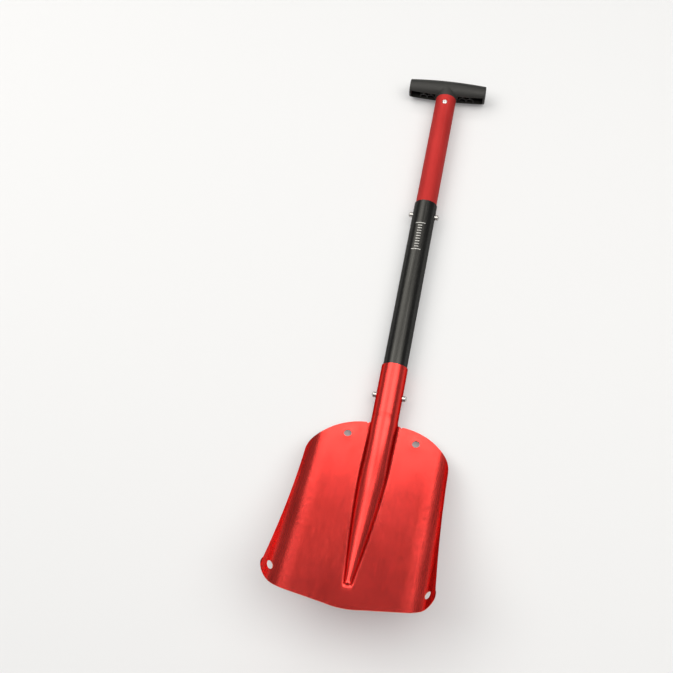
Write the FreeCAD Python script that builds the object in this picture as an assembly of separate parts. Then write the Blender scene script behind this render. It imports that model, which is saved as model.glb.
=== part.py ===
import FreeCAD, Part
import math
import os

# Three-piece avalanche shovel, in millimetres.
# It is built about its shaft: the shaft axis is the Y axis, Y = 0 is the rim of the
# blade's socket, +Y runs to the grip, +X is the shovel's right and +Z is the side that
# the blade's face looks to. At the end the whole shovel is laid on its back: moved so
# that its lowest point is at Z = 0 and the middle of its length is at Y = 0.

V = FreeCAD.Vector
X_AXIS = V(1, 0, 0)
Y_AXIS = V(0, 1, 0)
Z_AXIS = V(0, 0, 1)

# --- driving dimensions --------------------------------------------------------------
# mid shaft: a plain round tube
MID_OUTER_R = 15.0
MID_WALL = 1.0
MID_TOP_Y = 235.0
MID_BOTTOM_Y = -62.0

# upper shaft: it slides in the mid shaft
SLIDE_CLEARANCE = 0.12
UPPER_WALL = 1.5
UPPER_TOP_Y = 407.5
UPPER_BOTTOM_Y = 183.0

# snap buttons and their springs
BUTTON_R = 3.5
BUTTON_HOLE_R = 3.8
BUTTON_PROUD = 5.5          # how far a button stands out of the outer tube
BUTTON_DOME = 1.8
UPPER_LOCK_Y = 218.4
STOWED_LOCK_Y = 66.4        # where the upper buttons catch when the shaft is short
LOWER_LOCK_Y = -38.4
SPRING_WIDTH = 9.0
SPRING_THICK = 0.8
SPRING_ARM = 42.0
SPRING_BEND_R = 4.0
RIVET_TAIL_R = 2.0

# socket: the blade's own sheet, rolled round the mid shaft
SHEET = 1.2
SOCKET_INNER_R = MID_OUTER_R + SLIDE_CLEARANCE
SOCKET_OUTER_R = SOCKET_INNER_R + SHEET
SOCKET_SEAM = 0.8
SPARE_HOLE_Y = -26.5        # a single extra hole, on the left side only
JOIN_TOLERANCE = 0.002      # the ridge's start and the socket's end are one outline to this

# blade: its own frame is (x, u, w); u runs from the shoulder to the tip, w out of the face
BLADE_Y = -90.0
BLADE_Z = -4.7
BLADE_LIFT = math.radians(15.9)
BLADE_CURVE_R = 1370.0      # long gentle curve of the blade, shoulder to tip
BEND_START_X = 66.0
BEND_R = 25.0
BEND_ANGLE = math.radians(55)
WALL_REACH_X = 97.0
SHOULDER_U = -19.5
TIP_U = 226.5

# ridge: the socket's crown runs on down the face, and fades towards the tip
RIDGE_FOOT_R = 2.5
RIDGE_HALF_WIDTH = SOCKET_OUTER_R + RIDGE_FOOT_R
RIDGE_TAPER_U = 60.0        # the ridge narrows from here on
RIDGE_END_U = 200.0
RIDGE_END_HALF_WIDTH = 5.5
RIDGE_END_HEIGHT = 4.0
RIDGE_FADE = 2.5            # over 1, so that the crest drops fast and then runs flat
RIDGE_CROWN_SHARE = 0.95    # the crown takes this share of the section, the flanks the rest
RIDGE_END_RUN = 6.0
CROWN_STEPS = 9             # points along the parts of the sheet's section
FLANK_STEPS = 4
FOOT_STEPS = 6
FLAT_STEPS = 6
BEND_STEPS = 10
WALL_STEPS = 3

# anchor holes in the blade, as (x, u)
HOLE_R = 4.75
RELIEF_R = 1.5              # small nicks in the top edge, one each side of the socket
RELIEF_X = 20.6
UPPER_HOLE = (41.7, 0.8)
LOWER_HOLE = (85.3, 196.2)

# T-grip
GRIP_Y = 422.6
GRIP_HALF_LENGTH = 52.8
GRIP_MID_R = 14.0
GRIP_END_R = 12.0
GRIP_EDGE_R = 1.2
GRIP_WALL = 2.6
GRIP_SLOT_HALF = 6.7
GRIP_RIB = 1.2
GRIP_POCKET_X = GRIP_MID_R + 1.5
GRIP_ARCH_R = 5.6
GRIP_ARCH_STILT = 3.2
GRIP_BORE_STOP = 3.0        # the spigot's bore ends this far short of the bar's axis
SPIGOT_LENGTH = 28.0
SPIGOT_WALL = 3.0
RIVET_Y = 394.8
RIVET_R = 2.0
RIVET_HEAD_R = 3.3
RIVET_HEAD_HIGH = 1.0
RIVET_UPSET = 2.4           # how far a rivet's upset end stands into the spigot
MANDREL_R = 1.1
MANDREL_SUNK = 0.8          # how deep the stem is broken off below the top of the head

# --- values that follow from them ----------------------------------------------------
MID_INNER_R = MID_OUTER_R - MID_WALL
UPPER_OUTER_R = MID_INNER_R - SLIDE_CLEARANCE
UPPER_INNER_R = UPPER_OUTER_R - UPPER_WALL
SPIGOT_OUTER_R = UPPER_INNER_R - 0.05
SPIGOT_INNER_R = SPIGOT_OUTER_R - SPIGOT_WALL


def ring(outer, inner, y_low, y_high):
    """A round tube along the shaft axis."""
    length = y_high - y_low
    base = V(0, y_low, 0)
    solid = Part.makeCylinder(outer, length, base, Y_AXIS)
    return solid.cut(Part.makeCylinder(inner, length, base, Y_AXIS))


def cross_hole(radius, y, reach=30.0, sides=(1, -1)):
    """A drill along X at height y, through the right wall, the left wall or both."""
    drills = [Part.makeCylinder(radius, reach, V(0, y, 0), V(side, 0, 0)) for side in sides]
    return drills[0] if len(drills) == 1 else drills[0].fuse(drills[1])


# --- blade ---------------------------------------------------------------------------
def base_height(u):
    return u * u / (2 * BLADE_CURVE_R)


def blade_point(x, u, w):
    """A point given in the blade's own frame."""
    y = BLADE_Y - u * math.cos(BLADE_LIFT) + w * math.sin(BLADE_LIFT)
    z = BLADE_Z + u * math.sin(BLADE_LIFT) + w * math.cos(BLADE_LIFT)
    return V(x, y, z)


def blade_direction(x, u, w):
    return blade_point(x, u, w) - blade_point(0, 0, 0)


def socket_crown(u):
    """Height of the socket's crown over the blade's base, where the socket runs straight on."""
    axis = -BLADE_Z / math.cos(BLADE_LIFT) - u * math.tan(BLADE_LIFT)
    return axis + SOCKET_OUTER_R / math.cos(BLADE_LIFT) - base_height(u)


def ridge_height(u):
    if u <= 0:
        return socket_crown(u)
    left = max(0.0, 1 - u / RIDGE_END_U)
    return RIDGE_END_HEIGHT + (socket_crown(0) - RIDGE_END_HEIGHT) * left ** RIDGE_FADE


def ridge_half_width(u):
    share = (u - RIDGE_TAPER_U) / (RIDGE_END_U - RIDGE_TAPER_U)
    taper = min(1.0, max(0.0, share))
    return RIDGE_HALF_WIDTH + (RIDGE_END_HALF_WIDTH - RIDGE_HALF_WIDTH) * taper


def ridge_end(u):
    """1 along the ridge, falling smoothly to 0 over its blunt end."""
    share = min(1.0, max(0.0, (u - RIDGE_END_U + RIDGE_END_RUN / 2) / RIDGE_END_RUN))
    return (1 + math.cos(math.pi * share)) / 2


def half_section(u):
    """The face of the sheet at u, from the ridge's crest out past the side wall.

    A list of (x, w, lean): lean is how far the sheet's normal leans outwards. The ridge is a
    round crown, a straight flank and a round foot, then come the flat, the bend and the wall.
    """
    half, high = ridge_half_width(u), ridge_height(u)
    ease = min(1.0, max(0.0, u / RIDGE_TAPER_U))
    oval = 1 + (1 / math.cos(BLADE_LIFT) - 1) * (1 - ease)
    round_high = high - (oval - 1) * (half - RIDGE_FOOT_R)
    flank = min(math.pi / 2, RIDGE_CROWN_SHARE * 2 * math.atan(round_high / half))
    rest = 1 - math.cos(flank)
    radii = (half * math.sin(flank) - round_high * math.cos(flank)) / rest
    straight = (round_high * math.sin(flank) - half * rest) / rest
    crown = radii - RIDGE_FOOT_R
    path = []
    for k in range(CROWN_STEPS + 1):
        a = flank * k / CROWN_STEPS
        path.append((crown * math.sin(a), high - oval * crown * (1 - math.cos(a)), a))
    x, w, a = path[-1]
    for k in range(1, FLANK_STEPS):
        run = straight * k / FLANK_STEPS
        path.append((x + run * math.cos(flank), w - run * math.sin(flank), flank))
    for k in range(FOOT_STEPS + 1):
        a = flank * (1 - k / FOOT_STEPS)
        path.append((half - RIDGE_FOOT_R * math.sin(a), RIDGE_FOOT_R * (1 - math.cos(a)), a))
    end = ridge_end(u)
    path = [(x, w * end, math.atan2(end * math.sin(a), math.cos(a))) for x, w, a in path]
    for k in range(1, FLAT_STEPS):
        path.append((half + (BEND_START_X - half) * k / FLAT_STEPS, 0.0, 0.0))
    for k in range(BEND_STEPS + 1):
        a = BEND_ANGLE * k / BEND_STEPS
        path.append((BEND_START_X + BEND_R * math.sin(a), BEND_R * (1 - math.cos(a)), -a))
    x, w, a = path[-1]
    for k in range(1, WALL_STEPS + 1):
        run = (WALL_REACH_X - x) * k / WALL_STEPS
        path.append((x + run, w + run * math.tan(BEND_ANGLE), -BEND_ANGLE))
    return path


def sheet_rows(depth):
    """Rows of points, one per station along the blade, at a depth below its face."""
    coarse = [SHOULDER_U - 4 + 8.0 * k for k in range(27)]
    blunt = [RIDGE_END_U - 5 + 1.0 * k for k in range(11)]
    beyond = [RIDGE_END_U + 8 + 6.0 * k for k in range(5)]
    stations = [u for u in coarse if u < blunt[0] - 2] + blunt + beyond
    rows = []
    for u in stations:
        right = []
        for x, w, lean in half_section(u):
            across = x - depth * math.sin(lean)
            right.append((across, base_height(u) + w - depth * math.cos(lean)))
        left = [(-x, w) for x, w in reversed(right[1:])]
        rows.append([blade_point(x, u, w) for x, w in left + right])
    return rows


def sheet_face(depth):
    surface = Part.BSplineSurface()
    surface.interpolate(sheet_rows(depth))
    return surface


def between(front, back):
    """The four side faces that close the sheet between its face and its back."""
    sides = []
    low_u, high_u, low_v, high_v = front.bounds()
    for iso, at in (("uIso", low_u), ("uIso", high_u), ("vIso", low_v), ("vIso", high_v)):
        edges = [getattr(surface, iso)(at).toShape() for surface in (front, back)]
        sides.append(Part.makeRuledSurface(*edges))
    return sides


def oversize_sheet():
    front, back = sheet_face(0.0), sheet_face(SHEET)
    shell = Part.makeShell([front.toShape(), back.toShape()] + between(front, back))
    shell.sewShape()
    solid = Part.makeSolid(shell)
    if solid.Volume < 0:
        solid.reverse()
    return solid


def outline_half():
    """The right half of the blade's outline as points and the edges between them."""
    shoulder = (17.5, SHOULDER_U)
    neck = (57.5, -8.0)
    side_top = (85.3, 42.0)
    side_low = (92.8, 193.5)
    corner = (79.5, 215.0)
    bottom = (20.0, 224.3)
    return [
        ("line", (0.0, SHOULDER_U), shoulder),
        ("arc", shoulder, (40.0, -16.0), neck),
        ("arc", neck, (76.6, 10.6), side_top),
        ("arc", side_top, (87.6, 116.0), side_low),
        ("arc", side_low, (89.9, 209.4), corner),
        ("line", corner, bottom),
        ("arc", bottom, (0.0, TIP_U), (-bottom[0], bottom[1])),
    ]


def outline_prism(low, high):
    """The blade's outline as a prism along w, from low to high."""
    def at(p):
        return blade_point(p[0], p[1], low)

    def mirror(p):
        return (-p[0], p[1])

    def edge(kind, *points):
        if kind == "line":
            return Part.makeLine(*[at(p) for p in points])
        return Part.Arc(*[at(p) for p in points]).toShape()

    right = outline_half()
    edges = [edge(kind, *points) for kind, *points in right]
    for kind, *points in reversed(right[:-1]):
        edges.append(edge(kind, *[mirror(p) for p in reversed(points)]))
    face = Part.Face(Part.Wire(edges))
    return face.extrude(blade_direction(0, 0, high - low))


def face_height(x, u):
    """Height and slope of the sheet's face at a point outside the ridge."""
    out = abs(x) - BEND_START_X
    if out <= 0:
        return base_height(u), 0.0
    a = min(BEND_ANGLE, math.asin(min(1.0, out / BEND_R)))
    past = out - BEND_R * math.sin(a)
    high = BEND_R * (1 - math.cos(a)) + past * math.tan(a)
    return base_height(u) + high, math.tan(a) * math.copysign(1, x)


def sheet_drill(x, u):
    """A drill square to the sheet at (x, u)."""
    w, slope = face_height(x, u)
    normal = blade_direction(-slope, -u / BLADE_CURVE_R, 1)
    normal.normalize()
    return Part.makeCylinder(HOLE_R, 12, blade_point(x, u, w) - normal * 6, normal)


def socket():
    """The rolled socket, cut off square to the blade where the shoulder starts."""
    tube = ring(SOCKET_OUTER_R, SOCKET_INNER_R, BLADE_Y - 20, 0)
    beyond = Part.makeBox(120, 120, 120, V(-60, -60, 0))
    down_the_blade = FreeCAD.Rotation(Z_AXIS, blade_direction(0, 1, 0))
    beyond.Placement = FreeCAD.Placement(blade_point(0, SHOULDER_U, 0), down_the_blade)
    tube = tube.cut(beyond)
    seam = Part.makeBox(SOCKET_SEAM, 200, 10, V(-SOCKET_SEAM / 2, -190, -SOCKET_OUTER_R - 5))
    tube = tube.cut(seam)
    tube = tube.cut(cross_hole(BUTTON_HOLE_R, LOWER_LOCK_Y))
    return tube.cut(cross_hole(BUTTON_HOLE_R, SPARE_HOLE_Y, sides=(-1,)))


def blade():
    sheet = oversize_sheet().common(outline_prism(-30, 60))
    for x, u in (UPPER_HOLE, LOWER_HOLE):
        for side in (1, -1):
            sheet = sheet.cut(sheet_drill(side * x, u))
    for side in (1, -1):
        low = blade_point(side * RELIEF_X, SHOULDER_U, -10)
        sheet = sheet.cut(Part.makeCylinder(RELIEF_R, 20, low, blade_direction(0, 0, 1)))
    return sheet.fuse(socket(), JOIN_TOLERANCE)


# --- shafts --------------------------------------------------------------------------
def mid_shaft_tube():
    tube = ring(MID_OUTER_R, MID_INNER_R, MID_BOTTOM_Y, MID_TOP_Y)
    for y in (UPPER_LOCK_Y, STOWED_LOCK_Y, LOWER_LOCK_Y):
        tube = tube.cut(cross_hole(BUTTON_HOLE_R, y))
    return tube


def upper_shaft_tube():
    tube = ring(UPPER_OUTER_R, UPPER_INNER_R, UPPER_BOTTOM_Y, UPPER_TOP_Y)
    tube = tube.cut(cross_hole(BUTTON_HOLE_R, UPPER_LOCK_Y))
    drill = Part.makeCylinder(RIVET_R, 60, V(0, RIVET_Y, -30), Z_AXIS)
    return tube.cut(drill)


# --- snap springs and buttons --------------------------------------------------------
def arm_face_x(tube_inner_r):
    """Where an arm's outer face lies at its button: the flat strip just fits the tube."""
    return math.sqrt((tube_inner_r - 0.4) ** 2 - (SPRING_WIDTH / 2) ** 2)


def snap_spring(lock_y, tube_inner_r):
    """A V of spring strip: a round bend away from the tube's end, and two arms.

    The strip's middle line is drawn in the XY plane and thickened across Z.
    """
    outer_x = arm_face_x(tube_inner_r)
    tip_y = lock_y - 7.0
    bend_y = lock_y + SPRING_ARM
    mid_x = outer_x - SPRING_THICK / 2

    def band(offset):
        """Half of the strip's edge line, offset outwards from its middle line."""
        radius = SPRING_BEND_R + offset
        centre = V(0, bend_y - SPRING_BEND_R, 0)
        end = V(mid_x + offset, lock_y + 7.0, 0)
        reach = end - centre
        tangent = math.atan2(reach.y, reach.x) + math.acos(radius / reach.Length)
        touch = centre + V(math.cos(tangent), math.sin(tangent), 0) * radius
        return touch, end, V(mid_x + offset, tip_y, 0), V(0, bend_y + offset, 0)

    def flipped(p):
        return V(-p.x, p.y, p.z)

    def side(offset):
        touch, end, tip, top = band(offset)
        bend = Part.Arc(touch, top, flipped(touch)).toShape()
        right = [Part.makeLine(tip, end), Part.makeLine(end, touch)]
        left = [Part.makeLine(flipped(touch), flipped(end)), Part.makeLine(flipped(end), flipped(tip))]
        return right + [bend] + left, tip

    outer, outer_tip = side(SPRING_THICK / 2)
    inner, inner_tip = side(-SPRING_THICK / 2)
    caps = [Part.makeLine(outer_tip, inner_tip), Part.makeLine(flipped(outer_tip), flipped(inner_tip))]
    wire = Part.Wire(Part.__sortEdges__(outer + inner + caps))
    strip = Part.Face(wire).extrude(V(0, 0, SPRING_WIDTH))
    strip.translate(V(0, 0, -SPRING_WIDTH / 2))
    return strip.cut(cross_hole(RIVET_TAIL_R + 0.1, lock_y))


def domed_pin(radius, dome, low_x, high_x):
    """A round pin along +X from low_x to a domed top at high_x."""
    ball_r = (radius ** 2 + dome ** 2) / (2 * dome)
    pin = Part.makeCylinder(radius, high_x - low_x, V(low_x, 0, 0), X_AXIS)
    return pin.common(Part.makeSphere(ball_r, V(high_x - ball_r, 0, 0)))


def snap_button(lock_y, tube_inner_r, outer_r, side):
    """A domed button, riveted through its arm by a tail with a peened head."""
    foot = arm_face_x(tube_inner_r) + 0.05
    inside = arm_face_x(tube_inner_r) - SPRING_THICK - 0.05
    button = Part.makeCylinder(BUTTON_R, 4, V(foot, 0, 0), X_AXIS)
    button = button.fuse(domed_pin(BUTTON_R, BUTTON_DOME, foot + 3, outer_r + BUTTON_PROUD))
    tail = Part.makeCylinder(RIVET_TAIL_R, foot - inside + 1, V(inside - 0.5, 0, 0), X_AXIS)
    head = domed_pin(RIVET_TAIL_R + 1, 1.0, -inside, 1 - inside).mirror(V(0, 0, 0), X_AXIS)
    solid = button.multiFuse([tail, head]).removeSplitter()
    if side < 0:
        solid = solid.mirror(V(0, 0, 0), X_AXIS)
    solid.translate(V(0, lock_y, 0))
    return solid


# --- T-grip --------------------------------------------------------------------------
def grip_bar():
    """The bar of the T: a round bar along X, thicker in its middle, with softened ends."""
    half, edge = GRIP_HALF_LENGTH, GRIP_EDGE_R
    curve = Part.Arc(
        V(half - edge, GRIP_END_R, 0), V(0, GRIP_MID_R, 0), V(edge - half, GRIP_END_R, 0)
    ).toShape()
    corner = edge * (1 - math.sqrt(0.5))
    round_right = Part.Arc(
        V(half, GRIP_END_R - edge, 0),
        V(half - corner, GRIP_END_R - corner, 0),
        V(half - edge, GRIP_END_R, 0),
    ).toShape()
    round_left = Part.Arc(
        V(edge - half, GRIP_END_R, 0),
        V(corner - half, GRIP_END_R - corner, 0),
        V(-half, GRIP_END_R - edge, 0),
    ).toShape()
    outline = [
        Part.makeLine(V(half, 0, 0), V(half, GRIP_END_R - edge, 0)),
        round_right,
        curve,
        round_left,
        Part.makeLine(V(-half, GRIP_END_R - edge, 0), V(-half, 0, 0)),
        Part.makeLine(V(-half, 0, 0), V(half, 0, 0)),
    ]
    bar = Part.Face(Part.Wire(outline)).revolve(V(0, 0, 0), X_AXIS, 360)
    bar.translate(V(0, GRIP_Y, 0))
    return bar


def grip_pocket(side):
    """The hollow in one half of the bar, open towards the blade."""
    inner_x = GRIP_POCKET_X
    outer_x = GRIP_HALF_LENGTH - GRIP_WALL
    width = outer_x - inner_x
    depth = GRIP_END_R - GRIP_WALL
    low = V(min(side * inner_x, side * outer_x), GRIP_Y - 30, -GRIP_SLOT_HALF)
    block = Part.makeBox(width, 30 + depth - 3, 2 * GRIP_SLOT_HALF, low)
    back = Part.makeCylinder(depth, width, V(low.x, GRIP_Y, 0), X_AXIS)
    slab = Part.makeBox(width, depth, 2 * GRIP_SLOT_HALF, V(low.x, GRIP_Y, -GRIP_SLOT_HALF))
    return block.fuse(back.common(slab))


def stilted_arch(x, base_z, radius, front, depth):
    """An upright D lying along Y: a half-round head on straight legs."""
    spring_z = base_z + GRIP_ARCH_STILT
    head = Part.makeCylinder(radius, depth, V(x, front, spring_z), Y_AXIS)
    legs = Part.makeBox(2 * radius, depth, GRIP_ARCH_STILT, V(x - radius, front, base_z))
    above = Part.makeBox(2 * radius, depth, radius, V(x - radius, front, spring_z))
    return head.common(above).fuse(legs)


def grip_ribs(side):
    """Two arched ribs across one pocket, each with a post up to the pocket's roof."""
    front = GRIP_Y - math.sqrt(GRIP_END_R ** 2 - GRIP_SLOT_HALF ** 2)
    depth = GRIP_Y + GRIP_END_R - GRIP_WALL - 1 - front
    pitch = 2 * GRIP_ARCH_R - GRIP_RIB
    sunk = 0.4
    base_z = -GRIP_SLOT_HALF - sunk
    ribs = []
    for k in range(2):
        x = side * (GRIP_POCKET_X + GRIP_ARCH_R + GRIP_RIB + k * pitch)
        arch = stilted_arch(x, base_z, GRIP_ARCH_R, front, depth)
        arch = arch.cut(stilted_arch(x, base_z, GRIP_ARCH_R - GRIP_RIB, front, depth))
        top = base_z + GRIP_ARCH_STILT + GRIP_ARCH_R
        high = GRIP_SLOT_HALF + sunk - top + GRIP_RIB / 2
        post = Part.makeBox(GRIP_RIB, depth, high, V(x - GRIP_RIB / 2, front, top - GRIP_RIB / 2))
        ribs += [arch, post]
    return ribs[0].multiFuse(ribs[1:])


def t_handle():
    bar = grip_bar()
    neck = Part.makeCylinder(GRIP_MID_R, GRIP_Y - UPPER_TOP_Y, V(0, UPPER_TOP_Y, 0), Y_AXIS)
    low = V(0, UPPER_TOP_Y - SPIGOT_LENGTH, 0)
    spigot = Part.makeCylinder(SPIGOT_OUTER_R, GRIP_Y - low.y, low, Y_AXIS)
    solid = bar.multiFuse([neck, spigot])
    bore_depth = GRIP_Y - GRIP_BORE_STOP - low.y
    solid = solid.cut(Part.makeCylinder(SPIGOT_INNER_R, bore_depth, low, Y_AXIS))
    for side in (1, -1):
        solid = solid.cut(grip_pocket(side))
    for side in (1, -1):
        solid = solid.fuse(grip_ribs(side))
    return solid.cut(Part.makeCylinder(RIVET_R, 60, V(0, RIVET_Y, -30), Z_AXIS))


# --- grip rivets ---------------------------------------------------------------------
def rivet(side):
    """A blind rivet through the tube and the spigot, with its far side upset."""
    under_head = UPPER_OUTER_R
    inside = SPIGOT_INNER_R
    end = inside - RIVET_UPSET
    top = under_head + RIVET_HEAD_HIGH
    shank = RIVET_R - 0.02
    points = [
        (MANDREL_R, top),
        (RIVET_HEAD_R - 1.0, top),
        (RIVET_HEAD_R, under_head + 0.3),
        (RIVET_HEAD_R, under_head),
        (shank, under_head),
        (shank, inside - 0.3),
        (RIVET_R + 0.8, inside - 1.0),
        (RIVET_R + 0.4, end),
        (MANDREL_R, end),
        (MANDREL_R, top),
    ]
    wire = Part.makePolygon([V(r, 0, z) for r, z in points])
    body = Part.Face(wire).revolve(V(0, 0, 0), Z_AXIS, 360)
    return placed_rivet(body, side)


def mandrel(side):
    """The broken-off steel stem left in the rivet, with its ball inside the tube."""
    end = SPIGOT_INNER_R - RIVET_UPSET
    top = UPPER_OUTER_R + RIVET_HEAD_HIGH - MANDREL_SUNK
    stem = Part.makeCylinder(MANDREL_R - 0.02, top - end + 1, V(0, 0, end - 1), Z_AXIS)
    ball = Part.makeCylinder(RIVET_R - 0.2, 1.2, V(0, 0, end - 1.3), Z_AXIS)
    return placed_rivet(stem.fuse(ball), side)


def placed_rivet(solid, side):
    if side < 0:
        solid = solid.mirror(V(0, 0, 0), Z_AXIS)
    solid.translate(V(0, RIVET_Y, 0))
    return solid


# --- the shovel ----------------------------------------------------------------------
def shovel():
    nodes = {
        "blade": blade(),
        "mid_shaft_tube": mid_shaft_tube(),
        "upper_shaft_tube": upper_shaft_tube(),
        "t_handle": t_handle(),
        "handle_rivets": Part.makeCompound([rivet(1), rivet(-1)]),
        "rivet_mandrels": Part.makeCompound([mandrel(1), mandrel(-1)]),
    }
    clips = (
        ("upper", UPPER_LOCK_Y, UPPER_INNER_R, MID_OUTER_R),
        ("lower", LOWER_LOCK_Y, MID_INNER_R, SOCKET_OUTER_R),
    )
    for name, y, inner_r, outer_r in clips:
        nodes[name + "_snap_spring"] = snap_spring(y, inner_r)
        nodes[name + "_right_button"] = snap_button(y, inner_r, outer_r, 1)
        nodes[name + "_left_button"] = snap_button(y, inner_r, outer_r, -1)
    return nodes


def lay_down(nodes):
    """Move every node so that the shovel lies on Z = 0 with its length centred on Y = 0."""
    boxes = [shape.optimalBoundingBox(False) for shape in nodes.values()]
    low_y, high_y = min(b.YMin for b in boxes), max(b.YMax for b in boxes)
    shift = V(0, -(low_y + high_y) / 2, -min(b.ZMin for b in boxes))
    for shape in nodes.values():
        shape.translate(shift)
    return shift


def main():
    os.makedirs("parts", exist_ok=True)
    nodes = shovel()
    shift = lay_down(nodes)
    print("shift", round(shift.y, 4), round(shift.z, 4))
    for name, shape in nodes.items():
        box = shape.optimalBoundingBox(False)
        print(
            name, shape.ShapeType, len(shape.Solids), shape.isValid(), round(shape.Volume, 1),
            [round(v, 2) for v in (box.XMin, box.XMax, box.YMin, box.YMax, box.ZMin, box.ZMax)],
        )
        shape.exportStep("parts/" + name + ".step")


main()
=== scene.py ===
import bmesh
import bpy
import math
import numpy as np
from mathutils import Euler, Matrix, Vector


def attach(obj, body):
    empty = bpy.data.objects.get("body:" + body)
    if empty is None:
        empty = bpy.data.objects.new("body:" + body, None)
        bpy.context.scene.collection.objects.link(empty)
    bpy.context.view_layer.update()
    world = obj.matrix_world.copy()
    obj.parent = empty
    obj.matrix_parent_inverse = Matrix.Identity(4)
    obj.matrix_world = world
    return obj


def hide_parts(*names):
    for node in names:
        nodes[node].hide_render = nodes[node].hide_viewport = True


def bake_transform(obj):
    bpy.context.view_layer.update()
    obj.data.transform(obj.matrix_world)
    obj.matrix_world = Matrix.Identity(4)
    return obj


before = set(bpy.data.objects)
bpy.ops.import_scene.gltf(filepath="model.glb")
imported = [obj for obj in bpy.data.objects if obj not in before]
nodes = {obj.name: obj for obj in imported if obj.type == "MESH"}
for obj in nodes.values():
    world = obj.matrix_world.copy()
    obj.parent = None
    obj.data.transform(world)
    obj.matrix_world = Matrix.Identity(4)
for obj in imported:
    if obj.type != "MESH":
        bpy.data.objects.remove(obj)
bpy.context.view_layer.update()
MM = 0.001


# --- camera --------------------------------------------------------------------------
CAMERA_PLACE = (0.1046, -0.4805, 1.0992)
CAMERA_TURN = (23.443, 4.868, 11.519)      # degrees, XYZ
CAMERA_LENS = 50.23
CAMERA_SENSOR = 36.0


def camera():
    eye = bpy.data.objects.new("camera", bpy.data.cameras.new("camera"))
    bpy.context.scene.collection.objects.link(eye)
    eye.location = CAMERA_PLACE
    eye.rotation_euler = Euler([math.radians(a) for a in CAMERA_TURN], "XYZ")
    eye.data.lens = CAMERA_LENS
    eye.data.sensor_width = CAMERA_SENSOR
    bpy.context.scene.camera = eye


# --- studio --------------------------------------------------------------------------
FLOOR_RADIUS = 8.0
FLOOR_WHITE = (0.56, 0.571, 0.592)         # share of the light that the floor scatters
FLOOR_GLOW = 0.16                          # for the camera only: keeps the shadows faint
FLOOR_NEAR = 0.8                           # from here outwards the floor turns into the backdrop
FLOOR_FAR = 3.4
FLOOR_FAR_GLOW = 0.72
ROOM_LIGHT = 0.225
BACKDROP = 0.9                             # what the camera sees behind the floor
CEILING = 2.0                              # height of the overhead boxes
MAIN_Y = (-0.8, 0.87)                      # their run along the shovel, well past both its ends
BOX_TINT = (1.0, 0.965, 0.90)
LEFT_RADIANCE = 3.5
MID_RADIANCE = 1.5
RIGHT_RADIANCE = 3.5
LEFT_EDGE_RADIANCE = 2.2                   # the boxes are dimmer towards their far edge
RIGHT_EDGE_RADIANCE = 0.6
BACK_RADIANCE = 4.6
BACK_DISTANCE = 2.5


def floor():
    mesh = bpy.data.meshes.new("studio_floor")
    r = FLOOR_RADIUS
    mesh.from_pydata([(-r, -r, 0), (r, -r, 0), (r, r, 0), (-r, r, 0)], [], [(0, 1, 2, 3)])
    obj = bpy.data.objects.new("studio_floor", mesh)
    bpy.context.scene.collection.objects.link(obj)
    material = bpy.data.materials.new("studio_floor")
    material.use_nodes = True
    shader = material.node_tree.nodes["Principled BSDF"]
    shader.inputs["Base Color"].default_value = (*FLOOR_WHITE, 1)
    shader.inputs["Roughness"].default_value = 0.9
    shader.inputs["Specular IOR Level"].default_value = 0.1
    shader.inputs["Emission Color"].default_value = (1, 1, 1, 1)
    tree = material.node_tree
    seen = tree.nodes.new("ShaderNodeLightPath")
    away = tree.nodes.new("ShaderNodeVectorMath")
    away.operation = "LENGTH"
    tree.links.new(tree.nodes.new("ShaderNodeTexCoord").outputs["Object"], away.inputs[0])
    share = tree.nodes.new("ShaderNodeMapRange")
    share.interpolation_type = "SMOOTHSTEP"
    share.inputs["From Min"].default_value = FLOOR_NEAR
    share.inputs["From Max"].default_value = FLOOR_FAR
    share.inputs["To Min"].default_value = FLOOR_GLOW
    share.inputs["To Max"].default_value = FLOOR_FAR_GLOW
    tree.links.new(away.outputs["Value"], share.inputs["Value"])
    glow = tree.nodes.new("ShaderNodeMath")
    glow.operation = "MULTIPLY"
    tree.links.new(seen.outputs["Is Camera Ray"], glow.inputs[0])
    tree.links.new(share.outputs["Result"], glow.inputs[1])
    tree.links.new(glow.outputs["Value"], shader.inputs["Emission Strength"])
    mesh.materials.append(material)


def area_light(name, place, facing, size, radiance):
    light = bpy.data.lights.new(name, "AREA")
    light.shape = "RECTANGLE"
    light.size, light.size_y = size
    light.energy = radiance * math.pi * size[0] * size[1]
    light.color = BOX_TINT
    obj = bpy.data.objects.new(name, light)
    bpy.context.scene.collection.objects.link(obj)
    obj.location = place
    obj.rotation_euler = Vector(facing).to_track_quat("-Z", "Y").to_euler()
    obj.visible_camera = False


def overhead_box(name, x_span, y_span, radiance):
    place = (sum(x_span) / 2, sum(y_span) / 2, CEILING)
    size = (x_span[1] - x_span[0], y_span[1] - y_span[0])
    area_light(name, place, (0, 0, -1), size, radiance)


def back_box(name, x_span, z_span, radiance):
    place = (sum(x_span) / 2, BACK_DISTANCE, sum(z_span) / 2)
    size = (x_span[1] - x_span[0], z_span[1] - z_span[0])
    area_light(name, place, (0, -1, 0), size, radiance)


def room():
    """A dim room for the reflections, behind a pale backdrop for the camera."""
    world = bpy.data.worlds.new("studio")
    bpy.context.scene.world = world
    world.use_nodes = True
    tree = world.node_tree
    background = tree.nodes["Background"]
    background.inputs["Color"].default_value = (1, 1, 1, 1)
    seen = tree.nodes.new("ShaderNodeLightPath")
    strength = tree.nodes.new("ShaderNodeMapRange")
    strength.inputs["To Min"].default_value = ROOM_LIGHT
    strength.inputs["To Max"].default_value = BACKDROP
    tree.links.new(seen.outputs["Is Camera Ray"], strength.inputs["Value"])
    tree.links.new(strength.outputs["Result"], background.inputs["Strength"])


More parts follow.
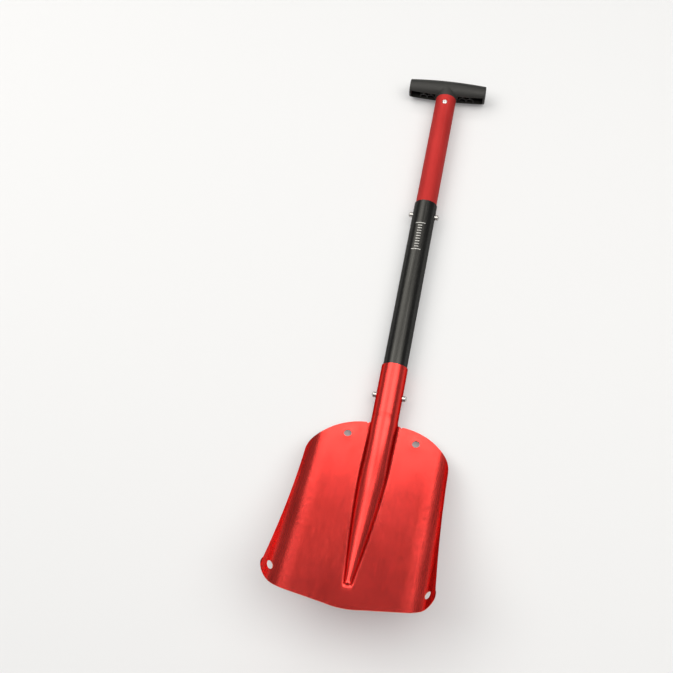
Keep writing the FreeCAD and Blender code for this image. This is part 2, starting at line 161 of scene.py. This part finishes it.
def studio():
    bpy.context.scene.view_settings.view_transform = "Standard"
    floor()
    room()
    overhead_box("left_box", (-2.8, -0.8), MAIN_Y, LEFT_RADIANCE)
    overhead_box("mid_box", (-0.8, 0.24), MAIN_Y, MID_RADIANCE)
    overhead_box("right_box", (0.24, 2.3), MAIN_Y, RIGHT_RADIANCE)
    overhead_box("left_edge", (-2.8, -0.5), (0.87, 2.0), LEFT_EDGE_RADIANCE)
    overhead_box("right_edge", (-0.5, 1.6), (0.87, 1.3), RIGHT_EDGE_RADIANCE)
    back_box("back_box", (-2.0, 1.4), (2.40, 2.90), BACK_RADIANCE)


camera()
studio()


# --- the blade's sheet ---------------------------------------------------------------
# The CAD blade is copied, and its ridge is drawn again: a little lower near the socket, and
# higher and wider in its lower half. Lengths in this part are in millimetres, in the blade's
# own frame: x across, u from the shoulder to the tip, w out of the face.
BLADE_PLACE = np.array((0.0, -156.7831, 11.6151))
BLADE_LIFT = math.radians(15.9)
BLADE_CURVE_R = 1370.0
SHAFT_DROP = 4.7
SOCKET_R = 16.32
FOOT_R = 2.5
HALF_WIDTH = SOCKET_R + FOOT_R
END_HALF_WIDTH = 5.5
RIDGE_END_U = 200.0
PLAIN_X = 30.0                   # the sheet stays as it is from here outwards
CAD_TURN_U = 60.0
CAD_END_HEIGHT = 4.0
CAD_FADE = 2.5
CAD_END_RUN = 6.0
CROWN_SHARE = 0.95               # the crown takes this share of the section, the flanks the rest
CREST_HEIGHT = 10.3
CREST_END_HEIGHT = 3.4
CREST_FALL = 2.2
CREST_RUN = 81.0
TAPER_U = 45.0
TAPER = 1.5
END_RUN = 6.0
END_EARLY = 1.6                  # the drawn ridge ends this much before the CAD one
DRIFT = 0.5                      # half the step over which the ridge's fall is measured
FACING = 0.6                     # a face this near to the sheet's normal takes it
CUT_ANGLE = math.radians(50)     # the sheet turns sharply only where it was cut
CUT_SHARE = 0.02                 # a patch this small beside the widest one is a cut edge


def smooth(share):
    share = np.clip(share, 0.0, 1.0)
    return (1 - np.cos(np.pi * share)) / 2


def crown_of(half, high, flank):
    """Radius of the round crown, and length of the straight flank beside it."""
    rest = 1 - np.cos(flank)
    crown = (half * np.sin(flank) - high * np.cos(flank)) / rest - FOOT_R
    straight = (high * np.sin(flank) - half * rest) / rest
    return crown, straight


def cad_ridge(u):
    """The CAD ridge at each u: its half width, height, flank angle, how oval it is, and how far
    it has faded out at its end."""
    top = (SHAFT_DROP + SOCKET_R) / math.cos(BLADE_LIFT)
    fade = np.clip(1 - u / RIDGE_END_U, 0, 1) ** CAD_FADE
    high = CAD_END_HEIGHT + (top - CAD_END_HEIGHT) * fade
    taper = np.clip((u - CAD_TURN_U) / (RIDGE_END_U - CAD_TURN_U), 0, 1)
    half = HALF_WIDTH + (END_HALF_WIDTH - HALF_WIDTH) * taper
    oval = 1 + (1 / math.cos(BLADE_LIFT) - 1) * (1 - np.clip(u / CAD_TURN_U, 0, 1))
    round_high = high - (oval - 1) * (half - FOOT_R)
    flank = np.minimum(math.pi / 2, CROWN_SHARE * 2 * np.arctan(round_high / half))
    end = 1 - smooth((u - RIDGE_END_U + CAD_END_RUN / 2) / CAD_END_RUN)
    return half, high, flank, oval, end


def drawn_ridge(u):
    """The same for the ridge that is drawn."""
    top = (SHAFT_DROP + SOCKET_R) / math.cos(BLADE_LIFT)
    oval = cad_ridge(u)[3]
    fall = np.clip(u / RIDGE_END_U, 0, 1) ** CREST_FALL
    low = CREST_HEIGHT - (CREST_HEIGHT - CREST_END_HEIGHT) * fall
    high = low + (top - CREST_HEIGHT) * np.clip(1 - u / CREST_RUN, 0, 1) ** 2
    taper = np.clip((u - TAPER_U) / (RIDGE_END_U - TAPER_U), 0, 1) ** TAPER
    half = HALF_WIDTH + (END_HALF_WIDTH - HALF_WIDTH) * taper
    round_high = high - (oval - 1) * (half - FOOT_R)
    flank = np.minimum(math.pi / 2, CROWN_SHARE * 2 * np.arctan(round_high / half))
    end = 1 - smooth((u - RIDGE_END_U + END_EARLY + END_RUN / 2) / END_RUN)
    return half, high, flank, oval, end


def section(ridge, u, crown_steps=16, flank_steps=5, foot_steps=10, flat_steps=4):
    """Points (x, w) of the sheet's face at each u, from the crest out to PLAIN_X."""
    half, high, flank, oval, end = ridge(u)
    crown, straight = crown_of(half, high - (oval - 1) * (half - FOOT_R), flank)
    xs, ws = [], []
    for k in range(crown_steps + 1):
        a = flank * k / crown_steps
        xs.append(crown * np.sin(a))
        ws.append((high - oval * crown * (1 - np.cos(a))) * end)
    x, w = xs[-1], ws[-1]
    for k in range(1, flank_steps):
        run = straight * k / flank_steps
        xs.append(x + run * np.cos(flank))
        ws.append(w - run * np.sin(flank) * end)
    for k in range(foot_steps + 1):
        a = flank * (1 - k / foot_steps)
        xs.append(half - FOOT_R * np.sin(a))
        ws.append(FOOT_R * (1 - np.cos(a)) * end)
    for k in range(1, flat_steps + 1):
        xs.append(half + (PLAIN_X - half) * k / flat_steps)
        ws.append(0 * half)
    return np.stack(xs, 1), np.stack(ws, 1) + (u * u / (2 * BLADE_CURVE_R))[:, None]


def place_on(xs, ws, x, w):
    """Where each point lies along its section, and how far above it."""
    x0, w0 = xs[:, :-1], ws[:, :-1]
    dx, dw = np.diff(xs, axis=1), np.diff(ws, axis=1)
    length = np.maximum(np.hypot(dx, dw), 1e-9)
    along = ((x[:, None] - x0) * dx + (w[:, None] - w0) * dw) / length ** 2
    along = np.clip(along, 0, 1)
    gap = np.hypot(x[:, None] - x0 - along * dx, w[:, None] - w0 - along * dw)
    best = np.argmin(gap, axis=1)
    row = np.arange(len(x))
    at = along[row, best]
    dx, dw, length = dx[row, best], dw[row, best], length[row, best]
    off_x = x - x0[row, best] - at * dx
    off_w = w - w0[row, best] - at * dw
    return best + at, (off_w * dx - off_x * dw) / length


def point_at(u, along, above):
    """The point on the drawn section for a place along it, and how far its normal leans."""
    xs, ws = section(drawn_ridge, u)
    best = np.minimum(along.astype(int), xs.shape[1] - 2)
    at = along - best
    row = np.arange(len(u))
    x = xs[row, best] * (1 - at) + xs[row, best + 1] * at
    w = ws[row, best] * (1 - at) + ws[row, best + 1] * at
    lean = np.arctan2(-np.gradient(ws, axis=1), np.gradient(xs, axis=1))
    a = lean[row, best] * (1 - at) + lean[row, best + 1] * at
    return x + above * np.sin(a), w + above * np.cos(a), a


def cut_faces(mesh):
    """For each face, whether it lies where the sheet was cut: along its rim and its holes."""
    form = bmesh.new()
    form.from_mesh(mesh)
    form.faces.ensure_lookup_table()
    patch_of = [-1] * len(form.faces)
    areas = []
    for first in form.faces:
        if patch_of[first.index] >= 0:
            continue
        patch_of[first.index] = len(areas)
        queue, area = [first], 0.0
        while queue:
            face = queue.pop()
            area += face.calc_area()
            for edge in face.edges:
                if len(edge.link_faces) != 2 or edge.calc_face_angle(0.0) > CUT_ANGLE:
                    continue
                for other in edge.link_faces:
                    if patch_of[other.index] < 0:
                        patch_of[other.index] = len(areas)
                        queue.append(other)
        areas.append(area)
    widest = max(areas)
    form.free()
    return [areas[patch] < CUT_SHARE * widest for patch in patch_of]


def blade_sheet():
    """The sheet with the drawn ridge, and which of its faces are cut edges."""
    source = nodes["blade"]
    mesh = source.data.copy()
    mesh.name = "blade_sheet"
    count = len(mesh.vertices)
    points = np.zeros(count * 3)
    mesh.vertices.foreach_get("co", points)
    points = points.reshape(-1, 3) / MM - BLADE_PLACE
    cos, sin = math.cos(BLADE_LIFT), math.sin(BLADE_LIFT)
    x = points[:, 0]
    u = -points[:, 1] * cos + points[:, 2] * sin
    w = points[:, 1] * sin + points[:, 2] * cos
    zone = np.nonzero((u > 0) & (u < RIDGE_END_U + END_RUN) & (np.abs(x) < PLAIN_X))[0]
    side = np.where(x[zone] < 0, -1.0, 1.0)
    along, above = place_on(*section(cad_ridge, u[zone]), np.abs(x[zone]), w[zone])
    new_x, new_w, lean = point_at(u[zone], along, above)
    behind = point_at(u[zone] - DRIFT, along, 0 * above)
    ahead = point_at(u[zone] + DRIFT, along, 0 * above)
    fall = (ahead[1] - behind[1] + np.tan(lean) * (ahead[0] - behind[0])) / (2 * DRIFT)
    normals = np.stack([side * np.sin(lean), -fall * np.cos(lean), np.cos(lean)], 1)
    normals /= np.linalg.norm(normals, axis=1)[:, None]
    new_x *= side
    moved = points.copy()
    moved[zone, 0] = new_x
    moved[zone, 1] = -u[zone] * cos + new_w * sin
    moved[zone, 2] = u[zone] * sin + new_w * cos
    corner = np.zeros(len(mesh.loops) * 3)
    mesh.corner_normals.foreach_get("vector", corner)
    corner = corner.reshape(-1, 3)
    vertex_of = np.zeros(len(mesh.loops), int)
    mesh.loops.foreach_get("vertex_index", vertex_of)
    mesh.vertices.foreach_set("co", ((moved + BLADE_PLACE) * MM).ravel())
    mesh.update()
    sheet_normal = np.full((count, 3), np.nan)
    sheet_normal[zone, 0] = normals[:, 0]
    sheet_normal[zone, 1] = -normals[:, 1] * cos + normals[:, 2] * sin
    sheet_normal[zone, 2] = normals[:, 1] * sin + normals[:, 2] * cos
    cut = cut_faces(mesh)
    for face in mesh.polygons:
        for loop in face.loop_indices:
            if cut[face.index]:
                corner[loop] = mesh.vertices[vertex_of[loop]].normal
                continue
            near = sheet_normal[vertex_of[loop]]
            if not np.isnan(near[0]):
                facing = near.dot(face.normal)
                if abs(facing) > FACING:
                    corner[loop] = near * math.copysign(1, facing)
    mesh.normals_split_custom_set(corner.tolist())
    obj = bpy.data.objects.new("blade_sheet", mesh)
    bpy.context.scene.collection.objects.link(obj)
    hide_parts("blade")
    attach(obj, "blade")
    return obj, cut


sheet, rim = blade_sheet()


def spring_arm(node, button, side):
    form = bmesh.new()
    form.from_mesh(nodes[node].data)
    other = [face for face in form.faces if face.calc_center_median().x * side < 0]
    bmesh.ops.delete(form, geom=other, context="FACES")
    mesh = bpy.data.meshes.new(button + "_arm")
    form.to_mesh(mesh)
    form.free()
    obj = bpy.data.objects.new(button + "_arm", mesh)
    bpy.context.scene.collection.objects.link(obj)
    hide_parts(node)
    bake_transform(obj)
    return obj


def spring_arms():
    arms = []
    for end, tube in (("lower", "mid_shaft"), ("upper", "upper_shaft")):
        node = end + "_snap_spring"
        for side_name, side in (("right", 1), ("left", -1)):
            button = end + "_" + side_name + "_button"
            arms.append(spring_arm(node, button, side))
    return arms


arms = spring_arms()


# --- materials -----------------------------------------------------------------------
def start(name, color, metallic, roughness):
    """A material with a plain shader, and object coordinates to hang the detail on."""
    material = bpy.data.materials.new(name)
    material.use_nodes = True
    tree = material.node_tree
    shader = tree.nodes["Principled BSDF"]
    shader.inputs["Base Color"].default_value = (*color, 1)
    shader.inputs["Metallic"].default_value = metallic
    shader.inputs["Roughness"].default_value = roughness
    place = tree.nodes.new("ShaderNodeTexCoord").outputs["Object"]
    return material, tree, shader, place


def noise(tree, place, scale, detail=3.0, distortion=0.0):
    """Noise from 0 to 1; scale is in cells a metre along X, Y and Z."""
    stretch = tree.nodes.new("ShaderNodeMapping")
    stretch.inputs["Scale"].default_value = scale
    tree.links.new(place, stretch.inputs["Vector"])
    texture = tree.nodes.new("ShaderNodeTexNoise")
    texture.inputs["Scale"].default_value = 1.0
    texture.inputs["Detail"].default_value = detail
    texture.inputs["Distortion"].default_value = distortion
    tree.links.new(stretch.outputs["Vector"], texture.inputs["Vector"])
    return texture.outputs["Fac"]


def span(tree, value, low, high, start_at=0.3, end_at=0.7):
    """value, from start_at to end_at, spread over low to high."""
    ranged = tree.nodes.new("ShaderNodeMapRange")
    ranged.inputs["From Min"].default_value = start_at
    ranged.inputs["From Max"].default_value = end_at
    ranged.inputs["To Min"].default_value = low
    ranged.inputs["To Max"].default_value = high
    tree.links.new(value, ranged.inputs["Value"])
    return ranged.outputs["Result"]


def math_node(tree, kind, a, b=0.0, c=0.0):
    node = tree.nodes.new("ShaderNodeMath")
    node.operation = kind
    for socket, value in zip(node.inputs, (a, b, c)):
        if isinstance(value, (int, float)):
            socket.default_value = value
        else:
            tree.links.new(value, socket)
    return node.outputs["Value"]


def mix(tree, share, a, b):
    """Colour a where share is 0, and b where it is 1."""
    node = tree.nodes.new("ShaderNodeMix")
    node.data_type = "RGBA"
    tree.links.new(share, node.inputs["Factor"])
    for socket, value in ((node.inputs[6], a), (node.inputs[7], b)):
        if isinstance(value, tuple):
            socket.default_value = (*value, 1)
        else:
            tree.links.new(value, socket)
    return node.outputs[2]


def bump(tree, shader, layers):
    """Stacks bumps on the shader; each layer is (height, depth in metres)."""
    normal = None
    for height, depth in layers:
        node = tree.nodes.new("ShaderNodeBump")
        node.inputs["Strength"].default_value = 1.0
        node.inputs["Distance"].default_value = depth
        tree.links.new(height, node.inputs["Height"])
        if normal is not None:
            tree.links.new(normal, node.inputs["Normal"])
        normal = node.outputs["Normal"]
    tree.links.new(normal, shader.inputs["Normal"])


def within(tree, value, low, high, soft):
    """1 where value lies between low and high, 0 outside, over a soft edge."""
    rise = span(tree, value, 0.0, 1.0, low - soft, low + soft)
    fall = span(tree, value, 1.0, 0.0, high - soft, high + soft)
    return math_node(tree, "MULTIPLY", rise, fall)


def axes(tree, place):
    split = tree.nodes.new("ShaderNodeSeparateXYZ")
    tree.links.new(place, split.inputs["Vector"])
    return split.outputs["X"], split.outputs["Y"], split.outputs["Z"]


def anodised(name, color, roughness, grain_depth, grain, tint, metallic=1.0):
    """Anodised aluminium: a fine grain, faint clouds and a few rubbed hairlines."""
    material, tree, shader, place = start(name, color, metallic, roughness)
    shader.inputs["Specular Tint"].default_value = (*tint, 1)
    lines = noise(tree, place, grain, 2.0)
    clouds = noise(tree, place, (26, 14, 26), 2.0)
    rubs = noise(tree, place, (700, 9, 700), 1.0, 0.4)
    rub = span(tree, rubs, 0.0, 1.0, 0.69, 0.74)
    light = tuple(min(1.0, c * 1.08 + 0.004) for c in color)
    dark = tuple(c * 0.90 for c in color)
    cloudy = mix(tree, span(tree, clouds, 0.0, 1.0), dark, light)
    worn = tuple(c * 0.6 + 0.16 for c in color)
    faint = math_node(tree, "MULTIPLY", rub, 0.10)
    tree.links.new(mix(tree, faint, cloudy, worn), shader.inputs["Base Color"])
    even = span(tree, lines, roughness - GRAIN_ROUGH, roughness + GRAIN_ROUGH)
    rubbed = math_node(tree, "MULTIPLY_ADD", rub, 0.05, even)
    tree.links.new(rubbed, shader.inputs["Roughness"])
    if grain_depth:
        bump(tree, shader, [(lines, grain_depth), (rub, -RUB_DEPTH)])
    return material, tree, shader, place


def red_sheet_material():
    """The sheet is a little rougher where it was stretched: along the ridge and the bends."""
    material, tree, shader, place = anodised(
        "red_sheet", SHEET_RED, SHEET_ROUGH, SHEET_GRAIN, (2600, 30, 120), (0.35, 0.06, 0.05))
    x, y, _ = axes(tree, place)
    aside = math_node(tree, "ABSOLUTE", x)
    bend = span(tree, aside, 0.0, 1.0, *BEND_X)
    half = span(tree, y, *RIDGE_HALF_X, *RIDGE_Y)
    past = math_node(tree, "SUBTRACT", aside, half)
    ridge = span(tree, past, 1.0, 0.0, -0.001, 0.001)
    ridge = math_node(tree, "MULTIPLY", ridge, span(tree, y, 0.0, 1.0, *RIDGE_END_Y))
    drawn = math_node(tree, "MAXIMUM", bend, ridge)
    plain = shader.inputs["Roughness"].links[0].from_socket
    rough = math_node(tree, "MULTIPLY_ADD", drawn, DRAWN_ROUGH, plain)
    tree.links.new(rough, shader.inputs["Roughness"])
    return material


def rim_highlight_material():
    """The cut edge, rounded off, with a painted highlight: a lighter, paler red than the sheet's,
    so that it shows as a bright line.
    """
    return anodised("sheet_rim_highlight", RIM_HIGHLIGHT_RED, RIM_ROUGH, 0.000004, (900, 900, 900), (0.9, 0.6, 0.5))[0]


def black_tube_material():
    """The black tube, with a plain printed scale on its upper side."""
    material, tree, shader, place = anodised(
        "black_tube", BLACK, BLACK_ROUGH, 0.000004, (2200, 90, 2200), (0.35, 0.35, 0.35))
    shader.inputs["Coat Weight"].default_value = 0.35
    shader.inputs["Coat Roughness"].default_value = 0.3
    x, y, z = axes(tree, place)
    step = math_node(tree, "DIVIDE", math_node(tree, "SUBTRACT", y, SCALE_START), SCALE_STEP)
    count = math_node(tree, "FLOOR", step)
    part = math_node(tree, "SUBTRACT", step, count)
    tick = within(tree, part, 0.10, 0.34, 0.03)
    fifth = math_node(tree, "COMPARE", math_node(tree, "PINGPONG", count, 5.0), 0.0, 0.5)
    reach = math_node(tree, "MULTIPLY_ADD", fifth, SCALE_LONG - SCALE_SHORT, SCALE_SHORT)
    aside = math_node(tree, "ABSOLUTE", math_node(tree, "SUBTRACT", x, SCALE_X))
    inside = math_node(tree, "LESS_THAN", aside, reach)
    along = within(tree, y, SCALE_START, SCALE_START + SCALE_STEP * SCALE_COUNT, 0.0002)
    upper = math_node(tree, "GREATER_THAN", z, SCALE_LOWEST_Z)
    speckle = span(tree, noise(tree, place, (1500, 1500, 1500), 2.0), 0.75, 1.0, 0.3, 0.5)
    print_mask = tick
    for share in (inside, along, upper, speckle):
        print_mask = math_node(tree, "MULTIPLY", print_mask, share)
    base = shader.inputs["Base Color"].links[0].from_socket
    tree.links.new(mix(tree, print_mask, base, (0.55, 0.55, 0.54)), shader.inputs["Base Color"])
    tree.links.new(math_node(tree, "SUBTRACT", 1.0, print_mask), shader.inputs["Metallic"])
    return material


def red_tube_material():
    """Blasted before it was dyed, so matt, with a fine even tooth."""
    material, tree, shader, place = anodised(
        "red_tube", TUBE_RED, TUBE_ROUGH, 0.0, (900, 120, 900), (0.8, 0.3, 0.3), TUBE_METAL)
    tooth = noise(tree, place, (3200, 3200, 3200), 2.0)
    bump(tree, shader, [(tooth, 0.00002)])
    return material


def plastic_material():
    """Moulded plastic with a fine spark-eroded tooth, a little polished where hands rub it."""
    material, tree, shader, place = start("plastic", PLASTIC, 0.0, 0.5)
    shader.inputs["Specular IOR Level"].default_value = 0.35
    tooth = noise(tree, place, (1400, 1400, 1400), 4.0)
    flow = noise(tree, place, (30, 60, 60), 2.0, 0.6)
    _, _, z = axes(tree, place)
    rubbed = span(tree, z, 0.0, 1.0, *HAND_Z)
    even = span(tree, flow, 0.44, 0.56)
    tree.links.new(math_node(tree, "MULTIPLY_ADD", rubbed, -0.07, even), shader.inputs["Roughness"])
    pale = tuple(c * 1.15 for c in PLASTIC)
    dark = tuple(c * 0.88 for c in PLASTIC)
    tree.links.new(mix(tree, span(tree, flow, 0.0, 1.0), dark, pale), shader.inputs["Base Color"])
    bump(tree, shader, [(tooth, 0.00006), (flow, 0.00015)])
    return material


def bright_metal(name, color, roughness, scale, depth):
    """Plated or turned metal with smudges and fine lines."""
    material, tree, shader, place = start(name, color, 1.0, roughness)
    lines = noise(tree, place, scale, 3.0)
    smudge = noise(tree, place, (220, 220, 220), 2.0, 0.5)
    tree.links.new(span(tree, smudge, roughness * 0.7, roughness * 1.5), shader.inputs["Roughness"])
    dark = tuple(c * 0.82 for c in color)
    tree.links.new(mix(tree, span(tree, lines, 0.0, 1.0), dark, color), shader.inputs["Base Color"])
    bump(tree, shader, [(lines, depth)])
    return material


GRAIN_ROUGH = 0.03              # how much an anodised grain varies the roughness
RUB_DEPTH = 0.0000015
SHEET_RED = (0.80, 0.058, 0.050)
SHEET_ROUGH = 0.16
DRAWN_ROUGH = 0.12              # what stretching adds to it
SHEET_GRAIN = 0.00003
BEND_X = (0.058, 0.078)         # the roughness grows over this run out from the middle
RIDGE_Y = (-0.210, -0.350)      # along this run the rough strip on the ridge narrows
RIDGE_HALF_X = (0.0188, 0.0055) # from the first half width to the second
RIDGE_END_Y = (-0.352, -0.340)  # and here it fades out
# painted highlight: the cut edge's red, lighter and paler than SHEET_RED, so that the edge shows as
# a bright line
RIM_HIGHLIGHT_RED = (0.95, 0.19, 0.12)
RIM_ROUGH = 0.55
BLACK = (0.033, 0.033, 0.031)
BLACK_ROUGH = 0.26
TUBE_RED = (0.45, 0.028, 0.026)
TUBE_ROUGH = 0.55
TUBE_METAL = 0.4                # the dye's own matt colour is the rest
PLASTIC = (0.020, 0.020, 0.0193)
HAND_Z = (0.024, 0.031)         # the polish from hands grows between these heights
SCALE_START = 0.0935            # the printed scale on the black tube
SCALE_STEP = 0.0039
SCALE_COUNT = 11
SCALE_X = -0.001
SCALE_LOWEST_Z = 0.0163         # the tube's middle: nothing is printed below it
SCALE_SHORT = 0.0028
SCALE_LONG = 0.0062

red_sheet = red_sheet_material()
black_tube = black_tube_material()
red_tube = red_tube_material()
plastic = plastic_material()
plated = bright_metal("plated_steel", (0.75, 0.74, 0.72), 0.16, (900, 2400, 2400), 0.000004)
strip = bright_metal("spring_steel", (0.42, 0.42, 0.44), 0.28, (2600, 120, 2600), 0.000006)
rivet = bright_metal("rivet_aluminium", (0.78, 0.78, 0.78), 0.30, (1600, 1600, 1600), 0.000008)
stem = bright_metal("steel_stem", (0.35, 0.35, 0.36), 0.38, (2500, 2500, 2500), 0.00002)
finishes = {
    "mid_shaft_tube": black_tube, "upper_shaft_tube": red_tube, "t_handle": plastic,
    "handle_rivets": rivet, "rivet_mandrels": stem,
    "upper_snap_spring": strip, "lower_snap_spring": strip,
}
for end in ("upper", "lower"):
    for side in ("right", "left"):
        finishes[end + "_" + side + "_button"] = plated


def finish_with(obj, material):
    obj.data.materials.clear()
    obj.data.materials.append(material)


for name, material in finishes.items():
    finish_with(nodes[name], material)
finish_with(nodes["blade"], red_sheet)
finish_with(sheet, red_sheet)
# the cut faces get the painted highlight: a lighter, paler red than the sheet's
sheet.data.materials.append(rim_highlight_material())
for face in sheet.data.polygons:
    face.material_index = int(rim[face.index])
for arm in arms:
    finish_with(arm, strip)
